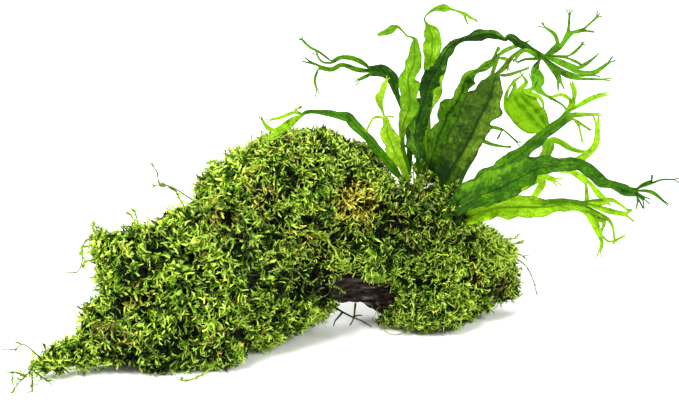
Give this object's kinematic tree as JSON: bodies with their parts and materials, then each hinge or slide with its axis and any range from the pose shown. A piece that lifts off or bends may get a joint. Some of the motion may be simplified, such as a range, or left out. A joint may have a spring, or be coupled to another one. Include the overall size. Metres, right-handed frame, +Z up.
{
  "type": "java fern on moss-covered driftwood",
  "caption": "Arched piece of driftwood under a thick mat of java moss, with a crested java fern growing from its right shoulder.",
  "frame": {"origin": "on the ground, under the middle of the plant's bounding box", "axes": "+Z up, +X to the right as the picture shows it, +Y away from the viewer"},
  "size_m": [0.2519, 0.1102, 0.1406],
  "materials": {
    "driftwood": "matte",
    "moss": "matte",
    "stem": "satin",
    "runner": "matte",
    "dark_leaf": "satin",
    "lime_leaf": "satin"
  },
  "bodies": {
    "root": {"driftwood": "driftwood", "moss_mat": "moss", "rhizome": "stem", "runner_left": "runner", "runner_top": "runner", "runner_side": "runner", "runner_right": "runner", "frond_tall_arching": "dark_leaf", "frond_upright_left": "lime_leaf", "frond_upright_back": "lime_leaf", "frond_left_arching": "dark_leaf", "frond_young_left": "lime_leaf", "frond_over_moss": "lime_leaf", "frond_broad_back": "dark_leaf", "frond_broad_front": "dark_leaf", "frond_antlered": "dark_leaf", "frond_long_right": "dark_leaf", "frond_low_right": "lime_leaf", "frond_rounded_back": "lime_leaf", "frond_slender_right": "lime_leaf", "frond_slender_back": "dark_leaf"}
  },
  "joints": []
}
